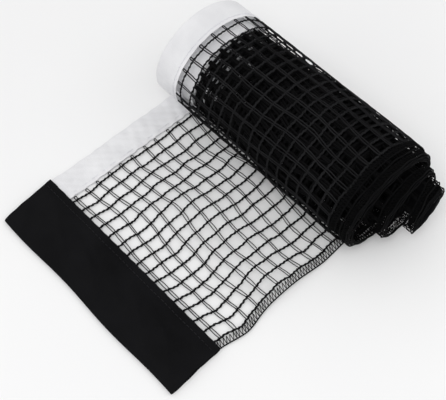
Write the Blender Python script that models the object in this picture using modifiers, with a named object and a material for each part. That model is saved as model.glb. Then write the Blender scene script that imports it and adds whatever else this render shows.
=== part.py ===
"""A table tennis net, rolled up for storage, with its free end laid out flat.

The knitted black netting runs from a fabric sleeve along +X over the table and winds into a loose roll
around its second sleeve.  A white tape edges the top of the net, which lies at +Y; the border band and its
selvage cord edge the bottom.  Lengths below are in millimetres and become metres in the meshes.

Net coordinates: s runs along the net from the flat sleeve's inner edge, t across it from the bottom edge.
"""

import math

import bpy
import numpy as np

MILLIMETRE = 0.001

# Net as it was cut.
NET_LENGTH = 1800.0
NET_WIDTH = 152.5
SLEEVE_WIDTH = 38.0
TAPE_INNER_EDGE = 134.2
TAPE_THICKNESS = 0.85
NETTING_THICKNESS = 0.75
NETTING_COLUMNS = 4
BAND_THICKNESS = 0.6

# Knit: sixteen chain cords along the net, thread pairs across it.
CHAIN_CORDS = 16
FIRST_CHAIN_T = 5.8
CHAIN_PITCH = 8.34
CHAIN_RADIUS = 0.55
CROSS_PITCH = 9.25
FIRST_CROSS_S = 3.7
PAIR_HALF_GAP = 0.85
THREAD_RADIUS = 0.2
SELVAGE_T = 0.55
SELVAGE_RADIUS = 0.45
BAND_LOW_T = 1.35
BAND_HIGH_T = 4.95

# The chain cords lie on the thread pairs, and each pair is a hairpin that reaches past the top cord.
CHAIN_LIFT = 0.65
CROSS_LIFT = -0.25
HAIRPIN_REACH = 1.2
CROSS_POINTS = 20

# Where the flat end stops and the roll starts.
HINGE_S = 97.0
HINGE_HEIGHT = 1.6
LAST_CROSS_GAP = 4.0
CONTACT_S = 123.2
FLAT_RUN = (105.0, 114.0)
FREE_START_S = 0.6
STATION_PITCH = 6.5
SHEET_HEIGHT = 0.55
SEAM_HEIGHT = 1.45
SEAM_SETTLES_S = 11.0
TOUCH_GAP = 0.3
STRIP_GAP = 0.8

# How the flat netting ripples, where it lies loose: a long wave (height, start, length) and a short one
# (height, length across, length along), and where it bows out past its bottom edge (depth, middle, width).
LOOSE_FROM = (3.0, 16.0)
LOOSE_TO = (74.0, 92.0)
LONG_WAVE = (3.0, 19.0, 64.0)
SHORT_WAVE = (0.8, 36.0, 60.0)
SHORT_WAVE_AT_TAPE = 0.3
BOWS = ((3.3, 18.0, 12.0), (1.2, 80.0, 14.0))
BOW_POWER = 1.3

# The tape's stitching, in from the tape's inner edge, and the share of the outermost turn that shows it.
TAPE_STITCH_INSET = 2.5
OUTER_STITCH_TURNS = (1 / 6, 8 / 9)
STITCH_LIFT = TAPE_THICKNESS / 2 + TOUCH_GAP + THREAD_RADIUS

# Post sleeve: folded fabric, with the pocket for the post inside.
FABRIC_THICKNESS = 0.5
LIP_GAP_TOP = 2.6
LIP_S = -0.3
SEAM_S = -6.0
SLEEVE_STITCH_S = -4.6
MID_SLEEVE_S = -22.0
POCKET_RISE = 3.0
POCKET_POWER = 1.6
FOLD_RADIUS = 1.1
FOLD_STEPS = 6
POCKET_STEPS = 10
EDGE_WAVE = (0.6, 80.0, 0.1)
SLEEVE_COLUMNS = 8
TUCKED_END = (-4.6, -0.4)
TUCKED_THICKNESS = 1.0
SLEEVE_LENGTH = 152.3
SLEEVE_LOW_T = 0.4
SLEEVE_SKEW_LOW = -1.6
SLEEVE_SKEW_HIGH = -3.9

# Roll: each row is (turn, position), read through a smooth curve.  The turns get smaller and stand closer
# to the far side, and they slide out towards the bottom edge of the net, three bundles one inside another.
# Near the tape the outermost turn stands off the next ones; towards the bottom edge they press against it.
POINTS_PER_TURN = 18
FINE_POINTS_PER_TURN = 90
ROLL_CENTRE = (136.5, 29.0)
ROLL_BOTTOM = ((0.0, SHEET_HEIGHT), (12.0, 14.6))
ROLL_TOP = ((0.0, 61.5), (0.6, 61.5), (1.6, 55.3), (4.6, 51.8), (5.6, 50.2), (7.6, 47.8), (8.6, 44.4),
            (12.0, 40.3))
ROLL_RIGHT = ((0.0, 160.0), (0.3, 160.0), (12.3, 145.5))
ROLL_LEFT = ((0.0, 86.3), (0.8, 86.3), (1.8, 92.6), (4.8, 96.8), (5.8, 108.6), (7.8, 111.5), (8.8, 125.0),
             (12.0, 128.5))
PRESSED_TOP = ((0.0, 61.5), (0.6, 61.5), (1.6, 60.2), (4.6, 56.5), (5.6, 50.2), (7.6, 47.8), (8.6, 44.4),
               (12.0, 40.3))
PRESSED_LEFT = ((0.0, 86.3), (0.8, 86.3), (1.8, 87.6), (4.8, 91.4), (5.8, 108.6), (7.8, 111.5), (8.8, 125.0),
                (12.0, 128.5))
PRESSED_T = (125.0, 55.0)
ROLL_LEAN = ((0.0, 0.0), (1.0, 0.03), (4.0, 0.1), (5.3, 0.28), (7.8, 0.33), (8.8, 0.45), (12.0, 0.5))
ROLL_SHIFT = ((0.0, 0.0), (0.3, -3.4), (0.65, -0.4), (0.85, -1.5), (1.25, -7.5), (2.0, -9.0), (5.0, -10.0),
              (5.6, -17.0), (8.0, -18.5), (8.8, -26.5), (12.0, -28.0))
TURN_SPACING = 1.2
SMALLEST_AXIS = 1.0
TURNS_READ = 13
SHORTEST_STEP = 0.2

# The turns inside the outermost one: bundles that nest, each (name, its first turn).
BUNDLES = (("outer_bundle", 1.0), ("middle_bundle", 5.3), ("inner_bundle", 8.3))

# Second sleeve, pressed flat at the core of the roll, and how far it stands in from the netting's line.
CORE_THICKNESS = 1.2
CORE_LIFT = 0.8
CORE_START = 0.04

# The frame's origin: the middle of the whole net's footprint, on the table.
ORIGIN = (61.26, 62.4, 0.0)

# Length of the lines that draw each hinge axis.
AXIS_DISPLAY = 10.0

BLACK = (0.018, 0.018, 0.020)
CHARCOAL = (0.022, 0.022, 0.025)
WHITE = (0.86, 0.86, 0.90)
THREAD_GREY = (0.035, 0.035, 0.040)


# ---------------------------------------------------------------- shape of the net

def smooth_step(value, low, high):
    f = np.clip((np.asarray(value, float) - low) / (high - low), 0.0, 1.0)
    return f * f * (3.0 - 2.0 * f)


def smooth_curve(rows, at):
    """A curve through the rows that never overshoots them (monotone cubic)."""
    x = np.array([row[0] for row in rows], float)
    y = np.array([row[1] for row in rows], float)
    step = np.diff(x)
    rise = np.diff(y) / step
    slope = np.zeros_like(x)
    slope[0] = rise[0]
    slope[-1] = rise[-1]
    for i in range(1, len(x) - 1):
        if rise[i - 1] * rise[i] > 0:
            before = 2 * step[i] + step[i - 1]
            after = step[i] + 2 * step[i - 1]
            slope[i] = (before + after) / (before / rise[i - 1] + after / rise[i])
    at = np.clip(np.asarray(at, float), x[0], x[-1])
    i = np.clip(np.searchsorted(x, at, side="right") - 1, 0, len(step) - 1)
    f = (at - x[i]) / step[i]
    return ((2 * f**3 - 3 * f**2 + 1) * y[i] + (f**3 - 2 * f**2 + f) * step[i] * slope[i]
            + (3 * f**2 - 2 * f**3) * y[i + 1] + (f**3 - f**2) * step[i] * slope[i + 1])


def oval_radius(turn, angle, top_rows, left_rows):
    """Distance from the roll's centre to one turn's leaning oval, in the direction of angle."""
    bottom, top, right, left, lean = [smooth_curve(rows, turn) for rows in
                                      (ROLL_BOTTOM, top_rows, ROLL_RIGHT, left_rows, ROLL_LEAN)]
    half_height = (top - bottom) / 2
    half_width = (right - left) / 2
    across = np.sqrt(np.maximum(half_width**2 - (lean * half_height)**2, SMALLEST_AXIS))
    dx = ROLL_CENTRE[0] - (right + left) / 2
    dz = ROLL_CENTRE[1] - (top + bottom) / 2
    px, pz = (dx - lean * dz) / across, dz / half_height
    ux, uz = (np.cos(angle) - lean * np.sin(angle)) / across, np.sin(angle) / half_height
    along = px * ux + pz * uz
    size = ux**2 + uz**2
    return (-along + np.sqrt(np.maximum(along**2 - size * (px**2 + pz**2 - 1), 0.0))) / size


def wind_roll(top_rows, left_rows):
    """Points of the wound net in the XZ plane, with its length so far: (turns, x, z, length)."""
    start = math.atan2(SHEET_HEIGHT - ROLL_CENTRE[1], CONTACT_S - ROLL_CENTRE[0])
    turns = np.arange(0, TURNS_READ * FINE_POINTS_PER_TURN) / FINE_POINTS_PER_TURN
    angle = start + 2 * math.pi * turns
    radius = oval_radius(turns, angle, top_rows, left_rows)
    per_turn = FINE_POINTS_PER_TURN
    for i in range(per_turn, len(radius)):
        outside = radius[i - per_turn:i - per_turn + 2]
        slope = (outside[1] - outside[0]) / (outside[0] * 2 * math.pi / per_turn)
        radius[i] = min(radius[i], outside[0] - TURN_SPACING * math.hypot(1.0, slope))
    x = ROLL_CENTRE[0] + radius * np.cos(angle)
    z = ROLL_CENTRE[1] + radius * np.sin(angle)
    length = np.concatenate([[0.0], np.cumsum(np.hypot(np.diff(x), np.diff(z)))])
    return turns, x, z, length


WOUND_TURNS, WOUND_X, WOUND_Z, WOUND_LENGTH = wind_roll(ROLL_TOP, ROLL_LEFT)
_, PRESSED_X, PRESSED_Z, _ = wind_roll(PRESSED_TOP, PRESSED_LEFT)
ROLLED_LENGTH = NET_LENGTH - 2 * SLEEVE_WIDTH - CONTACT_S
ROLLED_TURNS = float(np.interp(ROLLED_LENGTH, WOUND_LENGTH, WOUND_TURNS))


def flat_height(s, t):
    """Height of the flat netting's middle above the table: it rises to the sleeve's seam and ripples."""
    loose = smooth_step(s, *LOOSE_FROM) * (1 - smooth_step(s, *LOOSE_TO))
    edge = 1 - np.asarray(t, float) / NET_WIDTH
    height, start, length = LONG_WAVE
    long_wave = height * edge * (1 - np.cos(2 * math.pi * (s - start) / length)) / 2
    height, across, along = SHORT_WAVE
    share = SHORT_WAVE_AT_TAPE + (1 - SHORT_WAVE_AT_TAPE) * edge
    short_wave = height * share * (1 + np.sin(2 * math.pi * (t / across + s / along))) / 2
    seam = (SEAM_HEIGHT - SHEET_HEIGHT) * (1 - smooth_step(s, 0, SEAM_SETTLES_S))
    return SHEET_HEIGHT + seam + loose * (long_wave + short_wave)


def flat_sway(s, t):
    """How far the flat netting bows sideways, out past its bottom edge."""
    edge = np.clip(1 - np.asarray(t, float) / NET_WIDTH, 0.0, 1.0)
    bows = sum(depth * np.exp(-((s - middle) / width)**2) for depth, middle, width in BOWS)
    return -edge**BOW_POWER * bows


def net_point(s, t):
    """The middle surface of the net at (s, t), in millimetres."""
    if s <= CONTACT_S:
        return np.array([s, t + float(flat_sway(s, t)), float(flat_height(s, t))])
    turn = float(np.interp(s - CONTACT_S, WOUND_LENGTH, WOUND_TURNS))
    pressed = 1.0 - float(smooth_step(t, PRESSED_T[1], PRESSED_T[0]))
    x, z = [float(np.interp(turn, WOUND_TURNS, loose + (tight - loose) * pressed))
            for loose, tight in ((WOUND_X, PRESSED_X), (WOUND_Z, PRESSED_Z))]
    return np.array([x, t + float(smooth_curve(ROLL_SHIFT, turn)), z])


def net_normal(s, t):
    """The side of the net that faces up where it lies flat, and into the roll where it is wound."""
    along = net_point(s + 0.5, t) - net_point(s - 0.5, t)
    normal = np.cross(along, net_point(s, t + 0.5) - net_point(s, t - 0.5))
    return normal / np.linalg.norm(normal)


def net_at(s, t, lift=0.0):
    return net_point(s, t) + net_normal(s, t) * lift


def turn_length(turn):
    """Net coordinate s where the given turn of the roll starts."""
    return CONTACT_S + float(np.interp(turn, WOUND_TURNS, WOUND_LENGTH))


def flat_stations(start, end, pitch):
    count = max(2, round((end - start) / pitch) + 1)
    return list(np.linspace(start, end, count))


def wound_stations(first_turn, last_turn):
    """Stations at the same angles on every turn, so that the coarse turns nest as the fine ones do."""
    shortest = SHORTEST_STEP / POINTS_PER_TURN
    low = math.ceil((first_turn + shortest) * POINTS_PER_TURN)
    high = math.floor((last_turn - shortest) * POINTS_PER_TURN)
    between = [number / POINTS_PER_TURN for number in range(low, high + 1)]
    return [turn_length(turn) for turn in [first_turn, *between, last_turn]]


# ---------------------------------------------------------------- making objects

def empty_scene():
    for old in list(bpy.data.objects):
        bpy.data.objects.remove(old, do_unlink=True)
    net = bpy.data.collections.new("table_tennis_net")
    bpy.context.scene.collection.children.link(net)
    return net


def placed(points):
    """Millimetres in net space to metres in the frame."""
    return [tuple((np.asarray(point) - ORIGIN) * MILLIMETRE) for point in points]


def give_material(thing, colour, roughness):
    material = bpy.data.materials.new(thing.name + "_material")
    material.use_nodes = True
    shader = material.node_tree.nodes["Principled BSDF"]
    shader.inputs["Base Color"].default_value = (*colour, 1.0)
    shader.inputs["Roughness"].default_value = roughness
    shader.inputs["Metallic"].default_value = 0.0
    thing.data.materials.append(material)


def sheet(net, name, rows, thickness, colour, roughness=0.9):
    """A sheet through rows of points, thickened evenly on both sides."""
    wide = len(rows[0])
    points = placed([point for row in rows for point in row])
    faces = [(i * wide + j, (i + 1) * wide + j, (i + 1) * wide + j + 1, i * wide + j + 1)
             for i in range(len(rows) - 1) for j in range(wide - 1)]
    mesh = bpy.data.meshes.new(name)
    mesh.from_pydata(points, [], faces)
    thing = bpy.data.objects.new(name, mesh)
    net.objects.link(thing)
    solid = thing.modifiers.new("thickness", "SOLIDIFY")
    solid.thickness = thickness * MILLIMETRE
    solid.offset = 0.0
    solid.use_even_offset = True
    give_material(thing, colour, roughness)
    return thing


def cord(net, name, points, radius, colour):
    """A round cord along the points."""
    curve = bpy.data.curves.new(name, "CURVE")
    curve.dimensions = "3D"
    curve.bevel_depth = radius * MILLIMETRE
    curve.bevel_resolution = 0
    curve.use_fill_caps = True
    spline = curve.splines.new("POLY")
    spline.points.add(len(points) - 1)
    for target, point in zip(spline.points, placed(points)):
        target.co = (*point, 1.0)
    thing = bpy.data.objects.new(name, curve)
    net.objects.link(thing)
    give_material(thing, colour, 0.85)
    return thing


def strip(net, name, stations, low_t, high_t, thickness, colour, columns=1, lift=0.0):
    """A band of the net between two widths, along the given stations."""
    widths = np.linspace(low_t, high_t, columns + 1)
    rows = [[net_at(s, t, lift) for t in widths] for s in stations]
    return sheet(net, name, rows, thickness, colour)


def line_on_net(stations, t, lift=0.0):
    return [net_at(s, t, lift) for s in stations]


# ---------------------------------------------------------------- the free end

def free_end(net):
    made = []
    stations = flat_stations(FREE_START_S, HINGE_S - TOUCH_GAP / 2, STATION_PITCH)
    for number in range(CHAIN_CORDS):
        t = FIRST_CHAIN_T + CHAIN_PITCH * number
        line = line_on_net(stations, t, CHAIN_LIFT)
        made.append(cord(net, f"chain_cord_{number + 1:02d}", line, CHAIN_RADIUS, BLACK))
    made += cross_threads(net)
    made.append(strip(net, "border_band", stations, BAND_LOW_T, BAND_HIGH_T, BAND_THICKNESS, BLACK))
    made.append(cord(net, "selvage_cord", line_on_net(stations, SELVAGE_T), SELVAGE_RADIUS, BLACK))
    made.append(strip(net, "top_tape", stations, TAPE_INNER_EDGE, NET_WIDTH, TAPE_THICKNESS, WHITE, 2))
    line = line_on_net(stations, TAPE_INNER_EDGE + TAPE_STITCH_INSET, STITCH_LIFT)
    made.append(cord(net, "tape_stitching", line, THREAD_RADIUS, WHITE))
    return made


def cross_threads(net):
    """Thread pairs: each runs up beside itself, a hairpin round the top chain cord."""
    made = []
    top = FIRST_CHAIN_T + CHAIN_PITCH * (CHAIN_CORDS - 1)
    count = int((HINGE_S - LAST_CROSS_GAP - FIRST_CROSS_S) / CROSS_PITCH) + 1
    climb = list(np.linspace(FIRST_CHAIN_T - TOUCH_GAP, top + HAIRPIN_REACH / 2, CROSS_POINTS))
    for number in range(count):
        s = FIRST_CROSS_S + CROSS_PITCH * number
        route = [(s - PAIR_HALF_GAP, t) for t in climb]
        route += [(s + side * PAIR_HALF_GAP / 2, top + HAIRPIN_REACH) for side in (-1, 1)]
        route += [(s + PAIR_HALF_GAP, t) for t in reversed(climb)]
        points = [net_at(along, across, CROSS_LIFT) for along, across in route]
        made.append(cord(net, f"cross_thread_pair_{number + 1:02d}", points, THREAD_RADIUS, BLACK))
    return made


# ---------------------------------------------------------------- the post sleeve

def sleeve_profile():
    """The fabric's middle line: lower lip, under the pocket, round the fold, over it, upper lip."""
    half = FABRIC_THICKNESS / 2
    fold_s = -SLEEVE_WIDTH + FOLD_RADIUS + half
    line = [(s, half) for s in (LIP_S, SEAM_S, MID_SLEEVE_S)]
    for step in range(FOLD_STEPS + 1):
        angle = -math.pi / 2 - math.pi * step / FOLD_STEPS
        line.append((fold_s + FOLD_RADIUS * math.cos(angle), half + FOLD_RADIUS * (1 + math.sin(angle))))
    fold_top = half + 2 * FOLD_RADIUS
    seam_top = LIP_GAP_TOP + half
    for step in range(1, POCKET_STEPS + 1):
        f = step / POCKET_STEPS
        s = fold_s + (SEAM_S - fold_s) * f
        base = fold_top + (seam_top - fold_top) * f
        line.append((s, base + POCKET_RISE * math.sin(math.pi * f)**POCKET_POWER))
    line.append((LIP_S, seam_top))
    return line


def sleeve_point(s, z, f):
    """A point of the sleeve, f of the way up it; its ends are cut a little askew."""
    out = -s / SLEEVE_WIDTH
    low = SLEEVE_LOW_T + SLEEVE_SKEW_LOW * out
    high = SLEEVE_LOW_T + SLEEVE_LENGTH + SLEEVE_SKEW_HIGH * out
    t = low + (high - low) * f
    height, length, start = EDGE_WAVE
    wave = height * out * math.sin(2 * math.pi * (t / length + start))
    return np.array([s + wave, t, z])


def post_sleeve(net):
    fractions = np.linspace(0, 1, SLEEVE_COLUMNS + 1)
    rows = [[sleeve_point(s, z, f) for f in fractions] for s, z in sleeve_profile()]
    fabric = sheet(net, "post_sleeve", rows, FABRIC_THICKNESS, CHARCOAL)
    top = LIP_GAP_TOP + FABRIC_THICKNESS + TOUCH_GAP + THREAD_RADIUS
    line = [sleeve_point(SLEEVE_STITCH_S, top, f) for f in fractions[1:-1]]
    line = [sleeve_point(SLEEVE_STITCH_S, top, 0.02), *line, sleeve_point(SLEEVE_STITCH_S, top, 0.98)]
    stitch = cord(net, "sleeve_stitching", line, THREAD_RADIUS, THREAD_GREY)
    rows = [[(s, t, SEAM_HEIGHT) for t in (SELVAGE_T, NET_WIDTH)] for s in TUCKED_END]
    tucked = sheet(net, "netting_end_in_sleeve", rows, TUCKED_THICKNESS, BLACK)
    return [fabric, stitch, tucked]


# ---------------------------------------------------------------- the roll

def rolled_net(net):
    """The outermost turn, which starts at the hinge line, and the bundles of turns inside it."""
    split = TOUCH_GAP / 2
    outer = [HINGE_S + split, *FLAT_RUN, *wound_stations(0.0, BUNDLES[0][1])]
    outer[-1] -= split
    wound_strips(net, "outer_turn", outer)
    ends = [first for _, first in BUNDLES[1:]] + [ROLLED_TURNS]
    for (name, first), last in zip(BUNDLES, ends):
        stations = wound_stations(first, last)
        stations[0] += split
        stations[-1] -= split
        wound_strips(net, name, stations)
    line = line_on_net(wound_stations(*OUTER_STITCH_TURNS), TAPE_INNER_EDGE + TAPE_STITCH_INSET, -STITCH_LIFT)
    cord(net, "tape_stitching_outer_turn", line, THREAD_RADIUS, WHITE)


def wound_strips(net, name, stations):
    """One stretch of the wound net: its netting, border band, tape and selvage cord."""
    strip(net, "netting_" + name, stations, BAND_HIGH_T + STRIP_GAP, TAPE_INNER_EDGE - STRIP_GAP,
          NETTING_THICKNESS, BLACK, NETTING_COLUMNS)
    strip(net, "border_band_" + name, stations, BAND_LOW_T, BAND_HIGH_T, BAND_THICKNESS, BLACK)
    strip(net, "top_tape_" + name, stations, TAPE_INNER_EDGE, NET_WIDTH, TAPE_THICKNESS, WHITE)
    cord(net, "selvage_cord_" + name, line_on_net(stations, SELVAGE_T), SELVAGE_RADIUS, BLACK)


def core_sleeve(net):
    """The second sleeve, pressed flat and curled up inside the innermost turn."""
    end_turn = float(np.interp(ROLLED_LENGTH + SLEEVE_WIDTH, WOUND_LENGTH, WOUND_TURNS))
    stations = wound_stations(ROLLED_TURNS + CORE_START, end_turn)
    strip(net, "core_sleeve", stations, SLEEVE_LOW_T, SLEEVE_LOW_T + SLEEVE_LENGTH, CORE_THICKNESS,
          CHARCOAL, lift=CORE_LIFT)


def hinge(net, name, s, z, parts):
    """An empty on the hinge's axis, with the parts that turn about it as its children."""
    axis = bpy.data.objects.new(name, None)
    axis.empty_display_size = AXIS_DISPLAY * MILLIMETRE
    axis.location = placed([(s, NET_WIDTH / 2, z)])[0]
    net.objects.link(axis)
    bpy.context.view_layer.update()
    for part in parts:
        part.parent = axis
        part.matrix_parent_inverse = axis.matrix_world.inverted()
    return axis


def main():
    net = empty_scene()
    flat = free_end(net)
    sleeve = post_sleeve(net)
    rolled_net(net)
    core_sleeve(net)
    lift = hinge(net, "free_end_lift_axis", HINGE_S, HINGE_HEIGHT, flat)
    fold = hinge(net, "sleeve_fold_axis", 0.0, LIP_GAP_TOP + FABRIC_THICKNESS, sleeve)
    fold.parent = lift
    fold.matrix_parent_inverse = lift.matrix_world.inverted()


main()
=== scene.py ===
"""Looks of a rolled-up table tennis net: knitted yarns, woven tape, sewn sleeves, floor, light and camera.

Lengths are in millimetres until placed() turns them into the frame's metres.  Net coordinates: s runs along
the net from the flat sleeve's inner edge, t across it from the bottom edge, and lift stands off its surface.
A pair of values named ..._S, ..._T or ..._X is a stretch over which something sets in.
"""

import math

import bpy
import numpy as np
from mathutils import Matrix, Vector


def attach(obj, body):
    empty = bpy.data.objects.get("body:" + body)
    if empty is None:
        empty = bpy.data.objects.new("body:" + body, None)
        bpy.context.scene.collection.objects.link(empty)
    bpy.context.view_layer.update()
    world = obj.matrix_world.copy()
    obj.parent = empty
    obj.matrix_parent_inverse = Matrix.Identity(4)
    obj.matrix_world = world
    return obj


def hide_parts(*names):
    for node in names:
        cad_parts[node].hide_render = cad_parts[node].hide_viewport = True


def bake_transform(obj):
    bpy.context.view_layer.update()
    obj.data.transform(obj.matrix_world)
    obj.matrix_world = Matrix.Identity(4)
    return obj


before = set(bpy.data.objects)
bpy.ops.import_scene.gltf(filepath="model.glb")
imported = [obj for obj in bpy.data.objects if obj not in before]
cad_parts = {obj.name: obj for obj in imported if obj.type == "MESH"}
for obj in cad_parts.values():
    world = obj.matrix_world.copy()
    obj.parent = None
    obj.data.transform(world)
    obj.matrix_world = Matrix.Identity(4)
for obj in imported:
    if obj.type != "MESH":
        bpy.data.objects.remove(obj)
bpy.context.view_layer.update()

MILLIMETRE = 0.001

# ---------------------------------------------------------------- the net as the CAD has it

NET_LENGTH = 1800.0
NET_WIDTH = 152.5
SLEEVE_WIDTH = 38.0
TAPE_INNER_EDGE = 134.2
CHAIN_CORDS = 16
FIRST_CHAIN_T = 5.8
CHAIN_PITCH = 8.34
CROSS_PITCH = 9.25
FIRST_CROSS_S = 3.7
SELVAGE_T = 0.55
CONTACT_S = 123.2
SHEET_HEIGHT = 0.55
SEAM_HEIGHT = 1.45
SEAM_SETTLES_S = 11.0
LOOSE_FROM = (3.0, 16.0)
LOOSE_TO = (74.0, 92.0)
LONG_WAVE = (3.0, 19.0, 64.0)
SHORT_WAVE = (0.8, 36.0, 60.0)
SHORT_WAVE_AT_TAPE = 0.3
BOWS = ((3.3, 18.0, 12.0), (1.2, 80.0, 14.0))
BOW_POWER = 1.3

FABRIC_THICKNESS = 0.5
LIP_GAP_TOP = 2.6
LIP_S = -0.3
SEAM_S = -6.0
SLEEVE_STITCH_S = -4.6
POCKET_RISE = 3.0
POCKET_POWER = 1.6
FOLD_RADIUS = 1.1
EDGE_WAVE = (0.6, 80.0, 0.1)
SLEEVE_LENGTH = 152.3
SLEEVE_LOW_T = 0.4
SLEEVE_SKEW_LOW = -1.6
SLEEVE_SKEW_HIGH = -3.9

ROLL_CENTRE = (136.5, 29.0)
ROLL_BOTTOM = ((0.0, SHEET_HEIGHT), (12.0, 14.6))
ROLL_TOP = ((0.0, 61.5), (0.6, 61.5), (1.6, 55.3), (4.6, 51.8), (5.6, 50.2), (7.6, 47.8), (8.6, 44.4),
            (12.0, 40.3))
ROLL_RIGHT = ((0.0, 160.0), (0.3, 160.0), (12.3, 145.5))
ROLL_LEFT = ((0.0, 86.3), (0.8, 86.3), (1.8, 92.6), (4.8, 96.8), (5.8, 108.6), (7.8, 111.5), (8.8, 125.0),
             (12.0, 128.5))
PRESSED_TOP = ((0.0, 61.5), (0.6, 61.5), (1.6, 60.2), (4.6, 56.5), (5.6, 50.2), (7.6, 47.8), (8.6, 44.4),
               (12.0, 40.3))
PRESSED_LEFT = ((0.0, 86.3), (0.8, 86.3), (1.8, 87.6), (4.8, 91.4), (5.8, 108.6), (7.8, 111.5), (8.8, 125.0),
                (12.0, 128.5))
PRESSED_T = (125.0, 55.0)
ROLL_LEAN = ((0.0, 0.0), (1.0, 0.03), (4.0, 0.1), (5.3, 0.28), (7.8, 0.33), (8.8, 0.45), (12.0, 0.5))
ROLL_SHIFT = ((0.0, 0.0), (0.3, -3.4), (0.65, -0.4), (0.85, -1.5), (1.25, -7.5), (2.0, -9.0), (5.0, -10.0),
              (5.6, -17.0), (8.0, -18.5), (8.8, -26.5), (12.0, -28.0))
TURN_SPACING = 1.2
SMALLEST_AXIS = 1.0
TURNS_READ = 13
BUNDLES = (("outer_bundle", 1.0), ("middle_bundle", 5.3), ("inner_bundle", 8.3))
CORE_LIFT = 0.8
CORE_START = 0.04
ORIGIN = (61.26, 62.4, 0.0)
NORMAL_STEP = 0.5

# ---------------------------------------------------------------- roll and pocket, beyond the CAD

POINTS_PER_TURN = 90

# Near the tape, at the roll's back, the turns inside the outermost stand further in than the CAD has them.
# The turns are where the gap starts, where it is full, and where it has closed.
BACK_GAP = 4.6
BACK_GAP_X = (140.0, 157.0)
BACK_GAP_T = (78.0, 122.0)
BACK_GAP_TURNS = (0.93, 1.2, 9.0)

# At its two ends the sleeve's pocket keeps this share of its rise; a higher power keeps the fall nearer them.
END_RISE = 0.25
END_POWER = 6.0

# ---------------------------------------------------------------- where the looks divide the net

SEAM_START_S = -4.6
SEAM_END_S = 7.0
ROLL_START_S = 114.0
SEAM_BAND_INSET = 1.0
SEAM_STITCH_INSET = 5.0

# ---------------------------------------------------------------- irregularities

WANDER_WAVES = 4
WANDER_SPREAD = (0.7, 2.1)
WANDER_DIVISOR = 2.4

# Rows of (height, seed, length) for uneven().
CHAIN_SHARED_SWAY = (0.7, 150, 30.0)
CHAIN_OWN_SWAY = (0.45, 100, 34.0)
CHAIN_FINE_SWAY = (0.2, 200, CROSS_PITCH)
CHAIN_RISE = (0.12, 300, 17.0)
KNOT_DRIFT = (0.8, 600, 9.0)
PAIR_SHARED_SWAY = (2.1, 450, 52.0)
PAIR_OWN_SWAY = (0.7, 400, 40.0)
PAIR_FINE_SWAY = (0.2, 700, 16.0)
PAIR_GAP_SWAY = (0.14, 1000, 33.0)
PAIR_RISE = (0.08, 1300, CHAIN_PITCH)
SIDE_SLIP = (3.2, 5000, 190.0)
BAND_T_SWAY = (0.12, 1600, 11.0)
BAND_S_SWAY = (0.2, 1601, 7.0)
TAPE_ROLL = (0.16, 1700, 19.0)
TAPE_FINE_ROLL = (0.08, 1701, 8.0)
TAPE_EDGE_SWAY = (0.22, 1702, 26.0)
TAPE_FINE_EDGE_SWAY = (0.1, 1703, 6.0)
TAPE_INNER_SWAY = (0.3, 1704, 7.0)
STITCH_SWAY = (0.05, 1800, 5.0)
SLEEVE_RUMPLE = (0.22, 1900, 16.0)
SLEEVE_END_SWAY = (0.35, 2000, 14.0)
SLEEVE_STITCH_SWAY = (0.1, 2100, 30.0)
CORE_RUMPLE = (0.1, 2200, 18.0)

# ---------------------------------------------------------------- yarns

WOUND_TIGHTNESS = 0.2
TIGHTENS_S = (90.0, 150.0)
SLIP_TURNS = (0.9, 1.9)
CHAIN_DELAY = 2.0
CHAIN_STRANDS = 3
BRAID_SHIFT = 0.37
KNOT_SHIFT = 0.61
CHAIN_STITCH = 2.9
BRAID_WIDTH = 0.38
BRAID_HEIGHT = 0.2
KNOT_PITCH = 3.1
KNOT_SWELL = 0.4
KNOT_SWING = 0.2
STRAND_RADIUS = 0.34
PLAIN_CHAIN_RADIUS = (0.6, 1.1)
PLAIN_CHAIN_BEAD = 0.1
PRESSED_HEIGHT = 0.5
PRESSED_FLAT_T = (6.0, 24.0)
CHAIN_LIFT = 0.45
CROSS_LIFT = -0.16
CROSS_RADIUS = 0.27
WOUND_CROSS_RADIUS = (0.38, 0.38)
INNER_CROSS_RADIUS = (0.3, 0.75)
CROSS_START_T = FIRST_CHAIN_T - 0.3
HAIRPIN_TOP_T = 133.9
HAIRPIN_RADIUS = 0.62
HAIRPIN_POINTS = 7
PAIR_EASES_S = (-4.0, 12.0)
PAIR_DELAY = 0.4
PAIR_HALF_GAP = 0.72
FIXED_GAP_SHARE = 0.55
PAIR_PINCH = 0.07
SELVAGE_STRAND_RADIUS = 0.25
SELVAGE_SINGLE_RADIUS = 0.5
SELVAGE_TWIST = 2.4
SELVAGE_INSET = 0.2
SELVAGE_WIDTH = 0.27
SELVAGE_HEIGHT = 0.12
BAND_MIDDLE_T = 3.15
BAND_HALF_WIDTH = 2.5
BAND_STITCH = 2.05
BAND_LEAN = 0.42
BAND_SHARPNESS = 0.985
BAND_LIFT = 0.05
BAND_RADIUS = 0.24

# ---------------------------------------------------------------- tape and stitches

TAPE_HALF_THICKNESS = 0.43
TAPE_CLOTH = 0.27
TAPE_STITCH_T = TAPE_INNER_EDGE + 2.5
TAPE_GROOVE_WIDTH = 1.1
PUCKER_DEPTH = 0.3
PUCKER_MEAN = 0.6
QUILT_HEIGHT = 0.24
QUILT_S = 7.5
QUILT_SLANT_T = 23.0
QUILT_T = 9.0
QUILT_PHASE = 1.0
TAPE_ROLL_SLANT = 0.35
TAPE_FINE_ROLL_SLANT = -0.6
TAPE_EDGE_REACH = 20.0
TAPE_INNER_MARGIN = 0.1
TAPE_LAYER_SHIFT = 40.0
TAPE_RELIEF_LIFT = 0.28
STITCH_PITCH = 2.8
STITCH_LENGTH = 2.3
STITCH_RADIUS = 0.17
STITCH_POINTS = 7
STITCH_SIDES = 6
STITCH_DIP = 0.3
STITCH_SLANT = 0.12
FLAT_STITCH_LIFT = TAPE_HALF_THICKNESS + 0.25
WOUND_STITCH_LIFT = TAPE_HALF_THICKNESS + 0.1
TAPE_SHARP_DEGREES = 50.0

# ---------------------------------------------------------------- sleeves

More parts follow.
